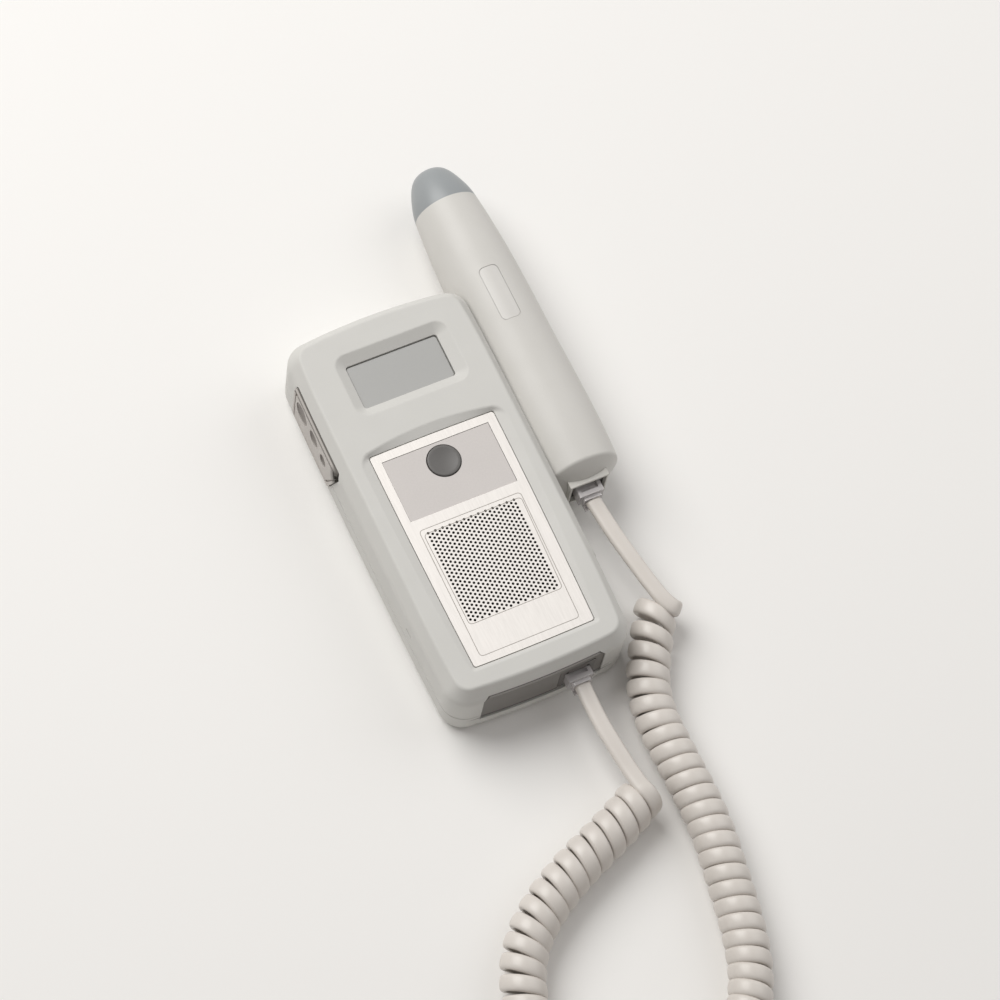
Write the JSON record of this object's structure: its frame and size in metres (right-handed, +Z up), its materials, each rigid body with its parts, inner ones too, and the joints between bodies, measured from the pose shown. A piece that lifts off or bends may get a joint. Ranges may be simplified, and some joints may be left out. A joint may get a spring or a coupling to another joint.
{
  "type": "fetal doppler monitor",
  "caption": "Handheld fetal doppler monitor with a docked ultrasound probe, speaker grille, small display, side keys and a curly cord between unit and probe.",
  "frame": {"origin": "middle of the base of the unit and docked probe together, on the surface they rest on", "axes": "+Z up out of the front face as the unit lies on its back, +Y towards the display end and the probe's nose, +X towards the docked probe"},
  "size_m": [0.1266, 0.3662, 0.0311],
  "materials": {
    "case_plastic": "fine moulded texture",
    "probe_plastic": "satin moulded",
    "probe_tail_plastic": "satin moulded",
    "tip_plastic": "satin",
    "probe_label_film": "satin film",
    "plate_metal": "fine brushed, clear anodised",
    "panel_film": "finely speckled film",
    "button_rubber": "satin",
    "window_lens": "polished lens",
    "display_body": "moulded frame",
    "keypad_rubber": "moulded rubber",
    "end_plastic": "dark moulded",
    "jack_plastic": "black moulded",
    "plug_plastic": "clear polycarbonate",
    "cord_jacket": "smooth pvc jacket",
    "board_laminate": "solder mask",
    "component_black": "moulded packages",
    "speaker_metal": "painted frame and magnet",
    "gasket_foam": "closed-cell foam",
    "battery_can": "plain wrapped can",
    "snap_plastic": "moulded cap",
    "screw_steel": "zinc plated",
    "holder_plastic": "moulded carrier",
    "crystal_ceramic": "silvered ceramic"
  },
  "bodies": {
    "unit": {"front_case": "case_plastic", "rear_case": "case_plastic", "faceplate": "plate_metal", "button_panel": "panel_film", "display_window": "window_lens", "display_module": "display_body", "keypad_bezel": "keypad_rubber", "end_panel": "end_plastic", "unit_jack": "jack_plastic", "unit_plug": "plug_plastic", "probe_plug": "plug_plastic", "unit_lead": "cord_jacket", "coil_cord": "cord_jacket", "probe_lead": "cord_jacket", "main_board": "board_laminate", "jack_board": "board_laminate", "key_board": "board_laminate", "board_parts": "component_black", "power_switch": "component_black", "speaker": "speaker_metal", "speaker_gasket": "gasket_foam", "grille_foam": "gasket_foam", "battery": "battery_can", "battery_snap": "snap_plastic", "case_screws": "screw_steel"},
    "probe": {"probe_barrel": "probe_plastic", "probe_tip": "tip_plastic", "probe_tail": "probe_tail_plastic", "probe_label": "probe_label_film", "probe_jack": "jack_plastic", "probe_board": "board_laminate", "crystal_holder": "holder_plastic", "crystals": "crystal_ceramic"},
    "power_button": {"power_button": "button_rubber"},
    "key_up": {"key_up": "keypad_rubber"},
    "key_mid": {"key_mid": "keypad_rubber"},
    "key_down": {"key_down": "keypad_rubber"},
    "battery_door": {"battery_door": "case_plastic"}
  },
  "joints": [
    {"name": "power_button_press", "type": "slide", "parent": "unit", "child": "power_button", "axis": [0, 0, -1], "range_m": [0, 0.0008], "stiffness_N_per_m": 400, "springref_m": -0.001},
    {"name": "key_up_press", "type": "slide", "parent": "unit", "child": "key_up", "axis": [1, 0, 0], "range_m": [0, 0.0006], "stiffness_N_per_m": 400, "springref_m": -0.001},
    {"name": "key_mid_press", "type": "slide", "parent": "unit", "child": "key_mid", "axis": [1, 0, 0], "range_m": [0, 0.0006], "stiffness_N_per_m": 400, "springref_m": -0.001},
    {"name": "key_down_press", "type": "slide", "parent": "unit", "child": "key_down", "axis": [1, 0, 0], "range_m": [0, 0.0006], "stiffness_N_per_m": 400, "springref_m": -0.001},
    {"name": "battery_door_slide", "type": "slide", "parent": "unit", "child": "battery_door", "axis": [0, 1, 0], "range_m": [0, 0.05]},
    {"name": "probe_slide", "type": "slide", "parent": "unit", "child": "probe", "axis": [0, 1, 0], "range_m": [0, 0.07]}
  ]
}
